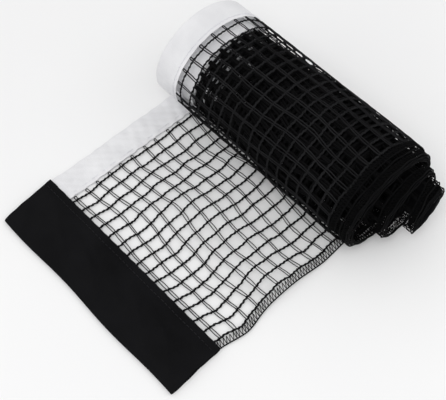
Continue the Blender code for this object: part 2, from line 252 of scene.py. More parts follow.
FOLD_POINTS = 15
LIP_POINTS = 8
RUMPLE_SLANT = 0.5
SEAM_GROOVE_WIDTH = 1.6
SEAM_PUCKER = 0.24
SEAM_DEPTH = 0.42
RELIEF_FROM_LIP = (3.0, 12.0)
RELIEF_FROM_FOLD = 7.0
DEEPEST_RELIEF = -1.2
SCALLOP_HEIGHT = 0.1
SCALLOP_FROM_S = -3.0
END_SWAY_POWER = 15
SLEEVE_STITCH_RANGE = (2.5, 148.5)
SLEEVE_STITCH_PITCH = 3.1
SLEEVE_STITCH_LENGTH = 2.2
SLEEVE_STITCH_LIFT = 0.12
SLEEVE_SHARP_DEGREES = 60.0
CORE_OUTSIDE = 0.58
CORE_INSIDE = 0.12
CORE_FOLD_ROOM = 0.6
CORE_FOLD_POINTS = 7
CORE_PITCH = 0.9
CORE_COLUMNS = 60

# Soft creases of the sleeve's upper layer: (s, t, angle in degrees, half length, half width, height).
CREASES = ((-20.0, 118.0, 62.0, 17.0, 3.4, 1.1), (-15.0, 96.0, 70.0, 15.0, 3.0, -0.9),
           (-24.0, 84.0, 55.0, 20.0, 3.8, 1.0), (-18.0, 62.0, 66.0, 16.0, 3.2, -0.9),
           (-22.0, 45.0, 58.0, 19.0, 3.6, 1.05), (-14.0, 27.0, 72.0, 13.0, 2.8, -0.8),
           (-26.0, 18.0, 48.0, 14.0, 3.4, 0.8), (-27.0, 134.0, 50.0, 13.0, 3.2, -0.7),
           (-9.0, 139.0, 80.0, 9.0, 2.4, 0.6), (-9.0, 12.0, 84.0, 9.0, 2.4, 0.6))

# ---------------------------------------------------------------- how finely each stretch is meshed

# Yarns: (pitch along the yarn, sides).  Bands: (points per stitch, sides).  Tapes: (pitch, columns,
# points round the fold).  Sleeve: (spacing along its profile, columns).
FLAT_CHAINS = (0.42, 5)
FLAT_PAIRS = (0.8, 5)
FLAT_BAND = (12, 5)
FLAT_SELVAGE = (0.4, 5)
FLAT_TAPE = (0.7, 22, 9)
TURN_CHAINS = (0.58, 4)
TURN_PAIRS = (1.5, 4)
TURN_BAND = (10, 4)
TURN_SELVAGE = (0.5, 4)
TURN_TAPE = (0.9, 18, 9)
BUNDLE_CHAINS = (1.15, 4)
BUNDLE_PAIRS = (2.8, 4)
BUNDLE_BAND = (4, 3)
BUNDLE_SELVAGE = (2.0, 4)
BUNDLE_TAPE = (2.2, 6, 5)
SLEEVE_MESH = (0.75, 150)

# How far the tape's own relief shows: in full, pressed in the outermost turn, and not at all in the bundles.
FREE_RELIEF = 1.0
TURN_RELIEF = 0.35
BUNDLE_RELIEF = 0.0


# ---------------------------------------------------------------- shape of the net

def smooth_step(value, low, high):
    f = np.clip((np.asarray(value, float) - low) / (high - low), 0.0, 1.0)
    return f * f * (3.0 - 2.0 * f)


def smooth_curve(rows, at):
    """A curve through the rows that never overshoots them (monotone cubic)."""
    x = np.array([row[0] for row in rows], float)
    y = np.array([row[1] for row in rows], float)
    step = np.diff(x)
    rise = np.diff(y) / step
    slope = np.zeros_like(x)
    slope[0] = rise[0]
    slope[-1] = rise[-1]
    for i in range(1, len(x) - 1):
        if rise[i - 1] * rise[i] > 0:
            before = 2 * step[i] + step[i - 1]
            after = step[i] + 2 * step[i - 1]
            slope[i] = (before + after) / (before / rise[i - 1] + after / rise[i])
    at = np.clip(np.asarray(at, float), x[0], x[-1])
    i = np.clip(np.searchsorted(x, at, side="right") - 1, 0, len(step) - 1)
    f = (at - x[i]) / step[i]
    return ((2 * f**3 - 3 * f**2 + 1) * y[i] + (f**3 - 2 * f**2 + f) * step[i] * slope[i]
            + (3 * f**2 - 2 * f**3) * y[i + 1] + (f**3 - f**2) * step[i] * slope[i + 1])


def oval_radius(turn, angle, top_rows, left_rows):
    """Distance from the roll's centre to one turn's leaning oval, in the direction of angle."""
    bottom, top, right, left, lean = [smooth_curve(rows, turn) for rows in
                                      (ROLL_BOTTOM, top_rows, ROLL_RIGHT, left_rows, ROLL_LEAN)]
    half_height = (top - bottom) / 2
    half_width = (right - left) / 2
    across = np.sqrt(np.maximum(half_width**2 - (lean * half_height)**2, SMALLEST_AXIS))
    dx = ROLL_CENTRE[0] - (right + left) / 2
    dz = ROLL_CENTRE[1] - (top + bottom) / 2
    px, pz = (dx - lean * dz) / across, dz / half_height
    ux, uz = (np.cos(angle) - lean * np.sin(angle)) / across, np.sin(angle) / half_height
    along = px * ux + pz * uz
    size = ux**2 + uz**2
    return (-along + np.sqrt(np.maximum(along**2 - size * (px**2 + pz**2 - 1), 0.0))) / size


def wind_roll(top_rows, left_rows):
    """Points of the wound net in the XZ plane, with its length so far: (turns, x, z, length)."""
    start = math.atan2(SHEET_HEIGHT - ROLL_CENTRE[1], CONTACT_S - ROLL_CENTRE[0])
    turns = np.arange(0, TURNS_READ * POINTS_PER_TURN) / POINTS_PER_TURN
    angle = start + 2 * math.pi * turns
    radius = oval_radius(turns, angle, top_rows, left_rows)
    for i in range(POINTS_PER_TURN, len(radius)):
        outside = radius[i - POINTS_PER_TURN:i - POINTS_PER_TURN + 2]
        slope = (outside[1] - outside[0]) / (outside[0] * 2 * math.pi / POINTS_PER_TURN)
        radius[i] = min(radius[i], outside[0] - TURN_SPACING * math.hypot(1.0, slope))
    x = ROLL_CENTRE[0] + radius * np.cos(angle)
    z = ROLL_CENTRE[1] + radius * np.sin(angle)
    length = np.concatenate([[0.0], np.cumsum(np.hypot(np.diff(x), np.diff(z)))])
    return turns, x, z, length


WOUND_TURNS, WOUND_X, WOUND_Z, WOUND_LENGTH = wind_roll(ROLL_TOP, ROLL_LEFT)
_, PRESSED_X, PRESSED_Z, _ = wind_roll(PRESSED_TOP, PRESSED_LEFT)
ROLLED_LENGTH = NET_LENGTH - 2 * SLEEVE_WIDTH - CONTACT_S
ROLLED_TURNS = float(np.interp(ROLLED_LENGTH, WOUND_LENGTH, WOUND_TURNS))


def flat_height(s, t):
    """Height of the flat netting's middle above the table: it rises to the sleeve's seam and ripples."""
    loose = smooth_step(s, *LOOSE_FROM) * (1 - smooth_step(s, *LOOSE_TO))
    edge = 1 - t / NET_WIDTH
    height, start, length = LONG_WAVE
    long_wave = height * edge * (1 - np.cos(2 * math.pi * (s - start) / length)) / 2
    height, across, along = SHORT_WAVE
    share = SHORT_WAVE_AT_TAPE + (1 - SHORT_WAVE_AT_TAPE) * edge
    short_wave = height * share * (1 + np.sin(2 * math.pi * (t / across + s / along))) / 2
    seam = (SEAM_HEIGHT - SHEET_HEIGHT) * (1 - smooth_step(s, 0, SEAM_SETTLES_S))
    return SHEET_HEIGHT + seam + loose * (long_wave + short_wave)


def flat_sway(s, t):
    """How far the flat netting bows sideways, out past its bottom edge."""
    edge = np.clip(1 - t / NET_WIDTH, 0.0, 1.0)
    bows = sum(depth * np.exp(-((s - middle) / width)**2) for depth, middle, width in BOWS)
    return -edge**BOW_POWER * bows


def turn_length(turn):
    """Net coordinate s where the given turn of the roll starts."""
    return CONTACT_S + float(np.interp(turn, WOUND_TURNS, WOUND_LENGTH))


def net_surface(s, t):
    """Points of the net's middle surface, in an array as (s, t) broadcast, with x, y, z last."""
    s, t = np.broadcast_arrays(np.asarray(s, float), np.asarray(t, float))
    turn = np.interp(s - CONTACT_S, WOUND_LENGTH, WOUND_TURNS)
    flat = s <= CONTACT_S
    pressed = 1.0 - smooth_step(t, PRESSED_T[1], PRESSED_T[0])
    wound_x, wound_z = [(1 - pressed) * np.interp(turn, WOUND_TURNS, loose)
                        + pressed * np.interp(turn, WOUND_TURNS, tight)
                        for loose, tight in ((WOUND_X, PRESSED_X), (WOUND_Z, PRESSED_Z))]
    first, full, last = BACK_GAP_TURNS
    gap = BACK_GAP * smooth_step(turn, first, full) * np.clip((last - turn) / (last - full), 0.0, 1.0)
    gap = gap * smooth_step(t, *BACK_GAP_T) * smooth_step(wound_x, *BACK_GAP_X)
    x = np.where(flat, s, wound_x - gap)
    y = t + np.where(flat, flat_sway(s, t), smooth_curve(ROLL_SHIFT, turn))
    z = np.where(flat, flat_height(s, t), wound_z)
    return np.stack([x, y, z], axis=-1)


def unit(vectors):
    return vectors / np.linalg.norm(vectors, axis=-1, keepdims=True)


def net_normals(s, t):
    """The net's side that faces up where it lies flat, and into the roll where it is wound."""
    along = net_surface(s + NORMAL_STEP, t) - net_surface(s - NORMAL_STEP, t)
    across = net_surface(s, t + NORMAL_STEP) - net_surface(s, t - NORMAL_STEP)
    return unit(np.cross(along, across))


def on_net(s, t, lift):
    """Points lifted off the net, and the net's normals there."""
    s, t, lift = np.broadcast_arrays(*[np.asarray(value, float) for value in (s, t, lift)])
    normals = net_normals(s, t)
    return net_surface(s, t) + normals * lift[..., None], normals


def wander(at, seed, length):
    """Smooth irregular waves, mostly between -1 and 1, about length long."""
    draw = np.random.default_rng(seed)
    at = np.asarray(at, float)
    waves = [np.sin(2 * math.pi * (at / (length * draw.uniform(*WANDER_SPREAD)) + draw.random()))
             for _ in range(WANDER_WAVES)]
    return sum(waves) / WANDER_DIVISOR


def uneven(at, row, number=0):
    """How far something wanders, from its (height, seed, length) row and its number among its kind."""
    height, seed, length = row
    return height * wander(at, seed + number, length)


# ---------------------------------------------------------------- meshes

def tubes(points, normals, radius, sides, height=1.0):
    """Closed tubes round lines of points.  Points and normals are (lines, points, 3) arrays.

    Height is the tube's size along the normals, as a share of its width.
    """
    tangents = unit(np.gradient(points, axis=1))
    side = unit(np.cross(tangents, normals))
    up = np.cross(side, tangents)
    angle = 2 * math.pi * np.arange(sides) / sides
    spokes = (np.cos(angle)[:, None] * side[:, :, None, :]
              + height * np.sin(angle)[:, None] * up[:, :, None, :])
    radius = np.broadcast_to(np.asarray(radius, float), points.shape[:2])
    vertices = points[:, :, None, :] + spokes * radius[:, :, None, None]
    index = np.arange(vertices[..., 0].size).reshape(vertices.shape[:3])
    near, far = index[:, :-1], index[:, 1:]
    quads = np.stack([near, far, np.roll(far, -1, axis=2), np.roll(near, -1, axis=2)], axis=-1)
    caps = np.concatenate([index[:, 0], index[:, -1, ::-1]])
    steps = np.linalg.norm(np.diff(points, axis=1), axis=2)
    along = np.concatenate([np.zeros((len(points), 1)), np.cumsum(steps, axis=1)], axis=1)
    u = np.broadcast_to(along[:, :, None], index.shape)
    corner_u = np.stack([u[:, :-1], u[:, 1:], u[:, 1:], u[:, :-1]], axis=-1)
    turn = np.broadcast_to(np.arange(sides) / sides, near.shape)
    corner_v = np.stack([turn, turn, turn + 1 / sides, turn + 1 / sides], axis=-1)
    return {"vertices": vertices.reshape(-1, 3),
            "faces": [quads.reshape(-1, 4), caps],
            "uv": [np.stack([corner_u, corner_v], axis=-1).reshape(-1, 2), np.zeros((caps.size, 2))]}


def swept(points, uv):
    """A closed outline swept along rows: points is (rows, outline, 3), uv (rows, outline, 2)."""
    rows, around = points.shape[:2]
    index = np.arange(rows * around).reshape(rows, around)
    near, far = index[:-1], index[1:]
    quads = np.stack([near, np.roll(near, -1, axis=1), np.roll(far, -1, axis=1), far], axis=-1)
    quads = quads.reshape(-1, 4)
    caps = np.stack([index[0, ::-1], index[-1]])
    flat_uv = uv.reshape(-1, 2)
    return {"vertices": points.reshape(-1, 3), "faces": [quads, caps],
            "uv": [flat_uv[quads.ravel()], flat_uv[caps.ravel()]]}


def placed(points):
    """Millimetres in net space to metres in the frame."""
    return (np.asarray(points, float) - ORIGIN) * MILLIMETRE


def piece(name, parts, material, sharp_degrees=180.0):
    """One mesh object from several tubes() or swept() parts."""
    vertices, faces, uv, first = [], [], [], 0
    for part in parts:
        vertices.append(part["vertices"])
        faces += [block + first for block in part["faces"]]
        uv += part["uv"]
        first += len(part["vertices"])
    mesh = bpy.data.meshes.new(name)
    all_points = placed(np.concatenate(vertices))
    mesh.vertices.add(len(all_points))
    mesh.vertices.foreach_set("co", all_points.astype(np.float32).ravel())
    corners = np.concatenate([block.ravel() for block in faces])
    sizes = np.concatenate([np.full(len(block), block.shape[1]) for block in faces])
    mesh.loops.add(len(corners))
    mesh.loops.foreach_set("vertex_index", corners.astype(np.int32))
    mesh.polygons.add(len(sizes))
    starts = np.concatenate([[0], np.cumsum(sizes)[:-1]])
    mesh.polygons.foreach_set("loop_start", starts.astype(np.int32))
    layer = mesh.uv_layers.new(name="net_millimetres")
    layer.data.foreach_set("uv", np.concatenate(uv).astype(np.float32).ravel())
    mesh.update(calc_edges=True)
    mesh.shade_smooth()
    if sharp_degrees < 180.0:
        mesh.set_sharp_from_angle(angle=math.radians(sharp_degrees))
    mesh.materials.append(material)
    thing = bpy.data.objects.new(name, mesh)
    bpy.context.scene.collection.objects.link(thing)
    return thing


# ---------------------------------------------------------------- yarns of the netting

def stations(first, last, pitch):
    return np.linspace(first, last, max(2, round((last - first) / pitch) + 1))


def looseness(s):
    """1 where the netting lies flat, and a little less where it is wound and pulled straighter."""
    return 1.0 - WOUND_TIGHTNESS * smooth_step(s, *TIGHTENS_S)


def side_slip(s, t):
    """How far the netting inside the roll has slipped sideways: most at mid-width, nothing at its edges."""
    inside = smooth_step(s, *[turn_length(turn) for turn in SLIP_TURNS])
    return inside * uneven(s, SIDE_SLIP) * np.sin(math.pi * t / NET_WIDTH)


def cord_t(number, s):
    """Where a chain cord runs: along the net, pulled to and fro."""
    pull = (uneven(s + CHAIN_DELAY * number, CHAIN_SHARED_SWAY) + uneven(s, CHAIN_OWN_SWAY, number)
            + uneven(s, CHAIN_FINE_SWAY, number))
    middle = FIRST_CHAIN_T + CHAIN_PITCH * number
    return middle + pull * looseness(s) + side_slip(s, middle)


def cord_lift(number, s):
    return CHAIN_LIFT + uneven(s, CHAIN_RISE, number)


def knitted_chains(first, last, pitch, sides):
    """Braided strands for each chain cord, with the bulges of its knots."""
    s = stations(first, last, pitch)
    t, lift = [], []
    for number in range(CHAIN_CORDS):
        for strand in range(CHAIN_STRANDS):
            phase = 2 * math.pi * (s / CHAIN_STITCH + strand / CHAIN_STRANDS + number * BRAID_SHIFT)
            knot = 2 * math.pi * (s / KNOT_PITCH + number * KNOT_SHIFT) + uneven(s, KNOT_DRIFT, number)
            swell = 1 + KNOT_SWELL * np.cos(knot)
            t.append(cord_t(number, s) + swell * BRAID_WIDTH * np.sin(phase) + KNOT_SWING * np.sin(knot))
            lift.append(cord_lift(number, s) + swell * BRAID_HEIGHT * np.sin(2 * phase))
    points, normals = on_net(s, np.array(t), np.array(lift))
    return tubes(points, normals, STRAND_RADIUS, sides)


def pressed_radius(radii, t):
    """Yarns inside the roll are pressed wide, but keep their size where the bundles' ends show."""
    return radii[0] + (radii[1] - radii[0]) * smooth_step(t, *PRESSED_FLAT_T)


def plain_chains(first, last, pitch, sides):
    """One beaded strand for each chain cord, for the turns that lie inside the roll."""
    s = stations(first, last, pitch)
    t = np.array([cord_t(number, s) for number in range(CHAIN_CORDS)])
    points, normals = on_net(s, t, CHAIN_LIFT)
    bead = pressed_radius(PLAIN_CHAIN_RADIUS, t) + PLAIN_CHAIN_BEAD * np.cos(math.pi * np.arange(len(s)))
    return tubes(points, normals, bead, sides, PRESSED_HEIGHT)


def cross_pairs(first, last, pitch, sides, radii=(CROSS_RADIUS, CROSS_RADIUS), height=1.0):
    """The thread pairs whose place along the net lies between first and last.

    A pair is one thread that runs up, turns back in a hairpin past the last chain cord, and runs down again.
    """
    numbers = [number for number in range(int(NET_LENGTH / CROSS_PITCH))
               if first <= FIRST_CROSS_S + number * CROSS_PITCH < last]
    straight = stations(CROSS_START_T, HAIRPIN_TOP_T - HAIRPIN_RADIUS, pitch)
    turn = np.linspace(0, math.pi, HAIRPIN_POINTS)[1:-1]
    t = np.concatenate([straight, straight[-1] + HAIRPIN_RADIUS * np.sin(turn), straight[::-1]])
    side = np.concatenate([np.full(len(straight), -1.0), -np.cos(turn), np.full(len(straight), 1.0)])
    s, lift = [], []
    for number in numbers:
        middle = FIRST_CROSS_S + number * CROSS_PITCH
        loose = float(looseness(middle))
        ease = loose * float(smooth_step(middle, *PAIR_EASES_S))
        line = middle + ease * (uneven(t + PAIR_DELAY * middle, PAIR_SHARED_SWAY)
                                + uneven(t, PAIR_OWN_SWAY, number) + uneven(t, PAIR_FINE_SWAY, number))
        pinch = PAIR_PINCH * np.cos(2 * math.pi * (t - FIRST_CHAIN_T) / CHAIN_PITCH)
        gap = PAIR_HALF_GAP * (FIXED_GAP_SHARE + (1 - FIXED_GAP_SHARE) * loose)
        s.append(line + side * (gap - pinch + uneven(t, PAIR_GAP_SWAY, number)))
        lift.append(CROSS_LIFT + side * uneven(t, PAIR_RISE, number))
    points, normals = on_net(np.array(s), t, np.array(lift))
    return tubes(points, normals, pressed_radius(radii, t), sides, height)


def border_band(first, last, points_per_stitch, sides):
    """The zigzag thread between the lowest chain cord and the selvage cord."""
    along = stations(first, last, BAND_STITCH / points_per_stitch)
    phase = 2 * math.pi * along / BAND_STITCH
    swing = np.arcsin(BAND_SHARPNESS * np.sin(phase)) * 2 / math.pi
    t = BAND_MIDDLE_T + BAND_HALF_WIDTH * swing + uneven(along, BAND_T_SWAY)
    s = along + BAND_LEAN * BAND_HALF_WIDTH * swing + uneven(along, BAND_S_SWAY)
    points, normals = on_net(s[None, :], t[None, :], BAND_LIFT * np.cos(phase)[None, :])
    return tubes(points, normals, BAND_RADIUS, sides)


def selvage_cord(first, last, pitch, sides, strands=2):
    """The cord along the net's bottom edge: strands twisted together, or a single thicker one."""
    s = stations(first, last, pitch)
    phases = [2 * math.pi * (s / SELVAGE_TWIST + strand / strands) for strand in range(strands)]
    t = np.array([SELVAGE_T + SELVAGE_INSET + SELVAGE_WIDTH * np.sin(phase) for phase in phases])
    lift = np.array([SELVAGE_HEIGHT * np.cos(phase) for phase in phases])
    points, normals = on_net(s, t, lift)
    return tubes(points, normals, SELVAGE_STRAND_RADIUS if strands > 1 else SELVAGE_SINGLE_RADIUS, sides)


# ---------------------------------------------------------------- tape, folded over the net's top edge

def tape_outline(columns, fold_points):
    """(t, lift) round the folded tape: its outside, from the lower layer's edge over the fold, then back."""
    def layer(half, count):
        bend = NET_WIDTH - TAPE_HALF_THICKNESS
        flat = np.linspace(TAPE_INNER_EDGE, bend, count)
        angle = np.linspace(-math.pi / 2, math.pi / 2, fold_points)[1:-1]
        t = np.concatenate([flat, bend + half * np.cos(angle), flat[::-1]])
        lift = np.concatenate([np.full(count, -half), half * np.sin(angle), np.full(count, half)])
        return t, lift
    out_t, out_lift = layer(TAPE_HALF_THICKNESS, columns)
    in_t, in_lift = layer(TAPE_HALF_THICKNESS - TAPE_CLOTH, columns)
    return np.concatenate([out_t, in_t[::-1]]), np.concatenate([out_lift, in_lift[::-1]])


def tape(first, last, pitch, columns, fold_points, relief):
    """A stretch of the tape.  Relief is 1 where it lies free, and less where it is pressed in the roll."""
    s = stations(first, last, pitch)[:, None]
    t, lift = tape_outline(columns, fold_points)
    near_stitch = np.exp(-((t - TAPE_STITCH_T) / TAPE_GROOVE_WIDTH)**2)
    pull = PUCKER_MEAN + (1 - PUCKER_MEAN) * np.cos(2 * math.pi * s / STITCH_PITCH)
    quilt = (QUILT_HEIGHT * np.sin(2 * math.pi * (s / QUILT_S + t / QUILT_SLANT_T))
             * np.sin(2 * math.pi * t / QUILT_T + QUILT_PHASE))
    roll = uneven(s + TAPE_ROLL_SLANT * t, TAPE_ROLL) + uneven(s + TAPE_FINE_ROLL_SLANT * t, TAPE_FINE_ROLL)
    edge = uneven(s, TAPE_EDGE_SWAY) + uneven(s, TAPE_FINE_EDGE_SWAY)
    inner = np.where(t < TAPE_INNER_EDGE + TAPE_INNER_MARGIN,
                     uneven(s + TAPE_LAYER_SHIFT * np.sign(lift), TAPE_INNER_SWAY), 0.0)
    points, _ = on_net(s, t + relief * (edge * (t - TAPE_INNER_EDGE) / TAPE_EDGE_REACH + inner),
                       lift * (1 - PUCKER_DEPTH * near_stitch * pull)
                       + relief * (quilt + roll + TAPE_RELIEF_LIFT))
    uv = np.stack(np.broadcast_arrays(s, t + 0.0 * s), axis=-1)
    return swept(points, uv)


def stitch_dip(f):
    """Height of a stitch along its length: 0 in the middle, sunk at both ends."""
    return STITCH_DIP * (np.sin(math.pi * f)**0.5 - 1.0)


def stitches(s_starts, t, lift_out, side):
    """Sewing stitches in a row along the net: each a short thread that dips in at both ends."""
    f = np.linspace(0, 1, STITCH_POINTS)
    s = np.asarray(s_starts)[:, None] + STITCH_LENGTH * f
    lift = side * (lift_out + stitch_dip(f))
    points, normals = on_net(s, t + STITCH_SLANT * (f - 0.5) + uneven(s, STITCH_SWAY), lift)
    return tubes(points, normals, STITCH_RADIUS, STITCH_SIDES)


# ---------------------------------------------------------------- post sleeve

def sleeve_middle(spacing):
    """(s, z, share of the pocket's rise) along the sleeve's cloth, from the lower lip round to the upper."""
    half = FABRIC_THICKNESS / 2
    fold_s = -SLEEVE_WIDTH + FOLD_RADIUS + half
    lower = np.linspace(LIP_S, fold_s, round(SLEEVE_WIDTH / spacing))
    angle = -math.pi / 2 - math.pi * np.linspace(0, 1, FOLD_POINTS)[1:-1]
    seam_top = LIP_GAP_TOP + half
    fold_top = half + 2 * FOLD_RADIUS
    f = np.linspace(0, 1, round(SLEEVE_WIDTH / spacing))
    upper = fold_s + (SEAM_S - fold_s) * f
    rise = fold_top + (seam_top - fold_top) * f
    pocket = np.sin(math.pi * f)**POCKET_POWER
    lip = np.linspace(SEAM_S, LIP_S, LIP_POINTS)[1:]
    s = np.concatenate([lower, fold_s + FOLD_RADIUS * np.cos(angle), upper, lip])
    z = np.concatenate([np.full(len(lower), half), half + FOLD_RADIUS * (1 + np.sin(angle)), rise,
                        np.full(len(lip), seam_top)])
    bulge = np.concatenate([np.zeros(len(lower) + len(angle)), pocket, np.zeros(len(lip))])
    return s, z, bulge


def sleeve_relief(s, t):
    """How far the sleeve's upper layer stands off its smooth shape."""
    total = uneven(s + RUMPLE_SLANT * t, SLEEVE_RUMPLE) * np.ones_like(s * t)
    for middle_s, middle_t, degrees, half_length, half_width, height in CREASES:
        angle = math.radians(degrees)
        along = (s - middle_s) * math.cos(angle) + (t - middle_t) * math.sin(angle)
        across = (t - middle_t) * math.cos(angle) - (s - middle_s) * math.sin(angle)
        total = total + height * np.exp(-(along / half_length)**2 - (across / half_width)**2)
    gathered = np.exp(-((s - SLEEVE_STITCH_S) / SEAM_GROOVE_WIDTH)**2)
    seam = gathered * (SEAM_PUCKER * np.sin(2 * math.pi * t / SLEEVE_STITCH_PITCH) - SEAM_DEPTH)
    clear_of_fold = smooth_step(s, -SLEEVE_WIDTH, -SLEEVE_WIDTH + RELIEF_FROM_FOLD)
    return total * smooth_step(-s, *RELIEF_FROM_LIP) * clear_of_fold + seam


def sleeve_cloth(spacing, columns):
    """The flat sleeve's folded cloth, swept from end to end."""
    s, z, bulge = sleeve_middle(spacing)
    tangent = unit(np.stack([np.gradient(s), np.gradient(z)], axis=-1))
    out_s, out_z = -tangent[:, 1], tangent[:, 0]
    upper = smooth_step(z, FABRIC_THICKNESS, 2 * FOLD_RADIUS)
    half = FABRIC_THICKNESS / 2
    ring_s, ring_z, ring_up, ring_bulge, middle = [], [], [], [], []
    for side, order in ((-1.0, slice(None)), (1.0, slice(None, None, -1))):
        ring_s.append((s + side * half * out_s)[order])
        ring_z.append((z + side * half * out_z)[order])
        ring_up.append(upper[order])
        ring_bulge.append(bulge[order])
        middle.append(s[order])
    ring_s, ring_z, ring_up, ring_bulge, middle = [np.concatenate(part) for part in
                                                   (ring_s, ring_z, ring_up, ring_bulge, middle)]
    f = np.linspace(0, 1, columns)[:, None]
    out = -middle / SLEEVE_WIDTH
    low = SLEEVE_LOW_T + SLEEVE_SKEW_LOW * out
    high = SLEEVE_LOW_T + SLEEVE_LENGTH + SLEEVE_SKEW_HIGH * out
    t = low + (high - low) * f
    height, length, start = EDGE_WAVE
    edge_wave = height * out * np.sin(2 * math.pi * (t / length + start))
    at_lip = smooth_step(middle, SCALLOP_FROM_S, LIP_S)
    scallop = SCALLOP_HEIGHT * at_lip * np.cos(2 * math.pi * (t - FIRST_CHAIN_T) / CHAIN_PITCH)
    end_wave = uneven(middle, SLEEVE_END_SWAY) * (2 * f - 1)**END_SWAY_POWER
    lift = np.maximum(sleeve_relief(middle[None, :] * np.ones_like(t), t) * ring_up, DEEPEST_RELIEF)
    rise = POCKET_RISE * ring_bulge * (1 - (1 - END_RISE) * np.abs(2 * f - 1)**END_POWER)
    points = np.stack([ring_s + edge_wave + scallop, t + end_wave, ring_z + rise + lift], axis=-1)
    run = np.cumsum(np.hypot(np.gradient(s), np.gradient(z)))
    uv = np.stack([np.broadcast_to(np.concatenate([run, run]), t.shape), t], axis=-1)
    return swept(points[:, ::-1], uv[:, ::-1])


def sleeve_stitches():
    """The dashed line that closes the pocket, sunk in its gathered groove."""
    starts = np.arange(*SLEEVE_STITCH_RANGE, SLEEVE_STITCH_PITCH)
    f = np.linspace(0, 1, STITCH_POINTS)
    t = starts[:, None] + SLEEVE_STITCH_LENGTH * f
    s = SLEEVE_STITCH_S + uneven(t, SLEEVE_STITCH_SWAY)
    top = LIP_GAP_TOP + FABRIC_THICKNESS
    z = top + sleeve_relief(s, t) + SLEEVE_STITCH_LIFT + stitch_dip(f)
    points = np.stack([s, t, z], axis=-1)
    normals = np.broadcast_to(np.array([0.0, 0.0, 1.0]), points.shape)
    return tubes(points, normals, STITCH_RADIUS, STITCH_SIDES)


def core_cloth():
    """The second sleeve, pressed flat: two layers that join at a fold, curled inside the innermost turn."""
    start = turn_length(ROLLED_TURNS + CORE_START)
    end = CONTACT_S + ROLLED_LENGTH + SLEEVE_WIDTH
    s = stations(start, end - CORE_FOLD_ROOM, CORE_PITCH)
    angle = np.linspace(-math.pi / 2, math.pi / 2, CORE_FOLD_POINTS)[1:-1]
    ring_s, ring_lift = [], []
    for half, up in ((CORE_OUTSIDE, 1), (CORE_INSIDE, -1)):
        ring_s += [s, s[-1] + half * np.cos(angle), s[::-1]]
        ring_lift += [np.full(len(s), -up * half), up * half * np.sin(angle), np.full(len(s), up * half)]
    ring_s = np.concatenate(ring_s)[None, :]
    ring_lift = CORE_LIFT + np.concatenate(ring_lift)[None, :]
    t = SLEEVE_LOW_T + SLEEVE_LENGTH * np.linspace(0, 1, CORE_COLUMNS)[:, None]
    points, _ = on_net(ring_s, t, ring_lift + uneven(t + ring_s, CORE_RUMPLE))
    uv = np.stack(np.broadcast_arrays(ring_s, t), axis=-1)
    return swept(points, uv)


# ---------------------------------------------------------------- materials

# Scale at which a wave texture makes one wave in each unit of its coordinates.
ONE_WAVE_PER_UNIT = 0.314
TWIST_DEGREES = 35.0
DARK_STOP = 0.3
LIGHT_STOP = 0.7
SLEEVE_LIGHT_STOP = 0.72


def new_material(name, roughness, specular):
    material = bpy.data.materials.new(name)
    material.use_nodes = True
    shader = material.node_tree.nodes["Principled BSDF"]
    shader.inputs["Roughness"].default_value = roughness
    shader.inputs["Specular IOR Level"].default_value = specular
    return material, material.node_tree, shader


def node(tree, kind, **values):
    made = tree.nodes.new(kind)
    for name, value in values.items():
        made.inputs[name].default_value = value
    return made


def noise(tree, place, scale, detail):
    made = node(tree, "ShaderNodeTexNoise", Scale=scale, Detail=detail)
    tree.links.new(place, made.inputs["Vector"])
    return made.outputs["Fac"]


def wave(tree, place, scale, direction, distortion=0.0):
    made = node(tree, "ShaderNodeTexWave", Scale=scale, Distortion=distortion)
    made.bands_direction = direction
    tree.links.new(place, made.inputs["Vector"])
    return made.outputs["Fac"]


def combine(tree, operation, first, second):
    made = tree.nodes.new("ShaderNodeMath")
    made.operation = operation
    for socket, value in zip(made.inputs, (first, second)):
        if isinstance(value, (int, float)):
            socket.default_value = value
        else:
            tree.links.new(value, socket)
    return made.outputs["Value"]


def weighted(tree, *parts):
    """The sum of (value, weight) parts."""
    total = None
    for value, weight in parts:
        share = combine(tree, "MULTIPLY", value, weight)
        total = share if total is None else combine(tree, "ADD", total, share)
    return total


def ramp(tree, factor, dark, light, light_stop=LIGHT_STOP):
    made = tree.nodes.new("ShaderNodeValToRGB")
    stops = ((DARK_STOP, dark), (light_stop, light))
    for element, (position, colour) in zip(made.color_ramp.elements, stops):
        element.position = position
        element.color = (*colour, 1.0)
    tree.links.new(factor, made.inputs["Fac"])
    return made.outputs["Color"]


def bump(tree, height, shader, strength, distance):
    made = node(tree, "ShaderNodeBump", Strength=strength, Distance=distance)
    tree.links.new(height, made.inputs["Height"])
    tree.links.new(made.outputs["Normal"], shader.inputs["Normal"])


def coordinates(tree):
    made = tree.nodes.new("ShaderNodeTexCoord")
    return made.outputs["Object"], made.outputs["UV"]


def scaled(tree, vector, scale, angle=0.0):
    made = tree.nodes.new("ShaderNodeMapping")
    made.inputs["Scale"].default_value = scale
    made.inputs["Rotation"].default_value = (0.0, 0.0, angle)
    tree.links.new(vector, made.inputs["Vector"])
    return made.outputs["Vector"]


def yarn_material(name, dark, light, roughness, twist_scale):
    """Matt spun yarn: plies twist round it, fibres catch light unevenly."""
    material, tree, shader = new_material(name, roughness, specular=0.1)
    place, along = coordinates(tree)
    twist = scaled(tree, along, (twist_scale, 1.0, 1.0), math.radians(TWIST_DEGREES))
    plies = wave(tree, twist, scale=1.0, direction="X", distortion=1.2)
    fibres = noise(tree, place, scale=2600.0, detail=4.0)
    patches = noise(tree, place, scale=60.0, detail=2.0)
    tone = weighted(tree, (fibres, 0.6), (patches, 0.4))
    tree.links.new(ramp(tree, tone, dark, light), shader.inputs["Base Color"])
    bump(tree, weighted(tree, (plies, 1.0), (fibres, 0.7)), shader, strength=0.5, distance=0.00012)
    return material


